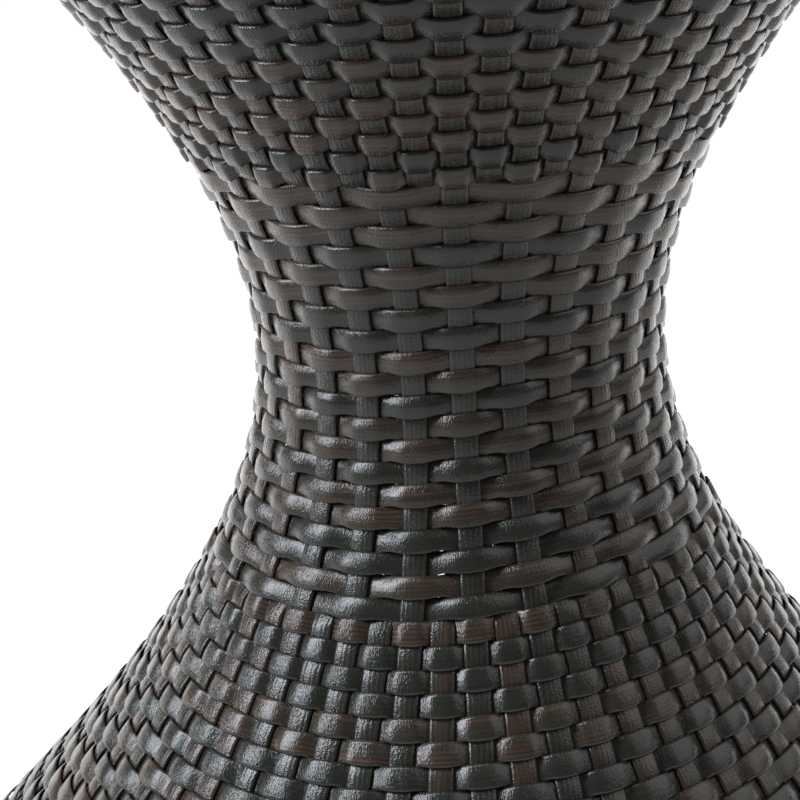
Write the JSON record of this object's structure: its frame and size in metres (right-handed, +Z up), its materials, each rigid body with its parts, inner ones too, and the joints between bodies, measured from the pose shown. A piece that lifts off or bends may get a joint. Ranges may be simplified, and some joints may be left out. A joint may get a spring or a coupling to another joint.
{
  "type": "wicker side table",
  "caption": "Hourglass side table: flat resin strands woven over a welded steel frame, with a flat round woven top, a flared open foot and floor glides.",
  "frame": {"origin": "on the floor, at the centre of the round foot", "axes": "+Z up along the axis of the hourglass; -Y is the side that the picture shows, +X to its right"},
  "size_m": [0.458, 0.458, 0.514],
  "materials": {
    "weave": "semi-gloss extruded resin strand, finely grooved, espresso brown and charcoal",
    "stakes": "semi-gloss extruded resin strand, finely grooved, charcoal with brown streaks",
    "frame": "dark powder coat, fine satin texture",
    "glides": "moulded black plastic, matt"
  },
  "bodies": {
    "root": {"top_ring": "frame", "foot_ring": "frame", "upper_hoop": "frame", "waist_hoop": "frame", "lower_hoop": "frame", "rib_1": "frame", "rib_2": "frame", "rib_3": "frame", "rib_4": "frame", "rib_5": "frame", "rib_6": "frame", "top_bar_long": "frame", "top_bar_front": "frame", "top_bar_rear": "frame", "long_stakes": "stakes", "middle_stakes": "stakes", "upper_stakes": "stakes", "lower_stakes": "stakes", "foot_weave": "weave", "lower_weave": "weave", "waist_weave": "weave", "upper_weave": "weave", "rim_weave": "weave", "top_weave": "weave", "glide_1": "glides", "glide_2": "glides", "glide_3": "glides", "glide_4": "glides"}
  },
  "joints": []
}
